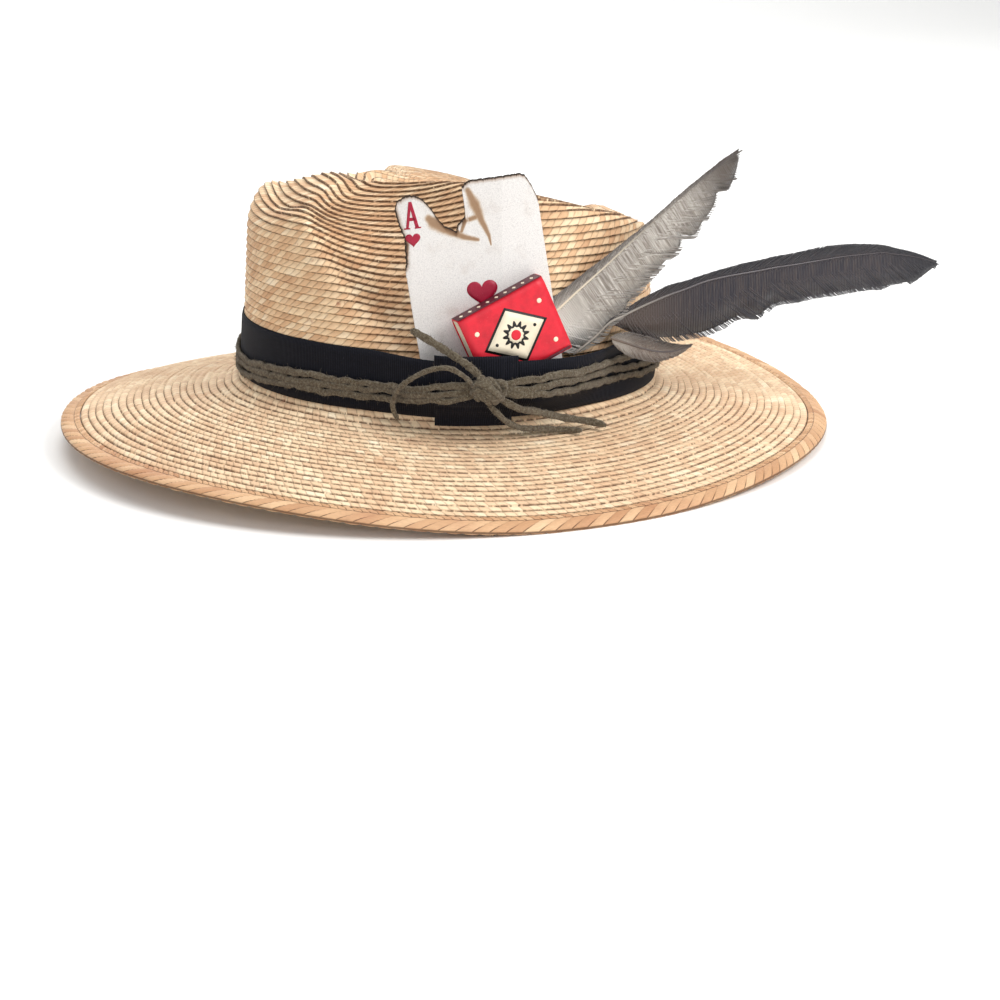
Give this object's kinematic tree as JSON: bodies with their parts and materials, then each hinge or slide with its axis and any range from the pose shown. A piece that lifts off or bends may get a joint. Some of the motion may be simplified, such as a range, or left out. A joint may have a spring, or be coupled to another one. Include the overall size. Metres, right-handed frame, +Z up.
{
  "type": "straw hat",
  "caption": "Wide-brimmed sewn palm-straw hat with a creased, pinched crown, black ribbon, suede laces, feathers, playing card and matchbox in its band.",
  "frame": {"origin": "centre of the overall box at the floor that the brim rests on", "axes": "+Z up; the hat's front points to -X, the side with the knot, card and feathers to -Y"},
  "size_m": [0.4166, 0.3346, 0.1388],
  "materials": {
    "palm_straw": "sewn palm-straw plait, matt, sun-bleached, with reddish stains",
    "edge_straw": "wider palm-straw plait, matt",
    "black_ribbon": "black cotton ribbon with a fine cross rib",
    "suede": "olive-brown suede, fuzzy edges",
    "card_paper": "coated card, burned brown at its edges",
    "red_sleeve": "printed red card, half gloss",
    "tray_card": "raw pale card",
    "grey_feather": "grey-brown feather with a pale shaft",
    "black_feather": "blue-black feather with a soft sheen"
  },
  "bodies": {
    "root": {"straw_body": "palm_straw", "edge_plait": "edge_straw", "hat_band": "black_ribbon", "ribbon_bow": "black_ribbon", "lace_wrap_top": "suede", "lace_wrap_middle": "suede", "lace_wrap_low": "suede", "lace_knot": "suede", "lace_tail_up": "suede", "lace_tail_loop": "suede", "lace_tail_long": "suede", "lace_tail_short": "suede", "playing_card": "card_paper", "matchbox_sleeve": "red_sleeve", "matchbox_tray": "tray_card", "feather_grey": "grey_feather", "feather_black": "black_feather", "feather_curl": "grey_feather"}
  },
  "joints": []
}
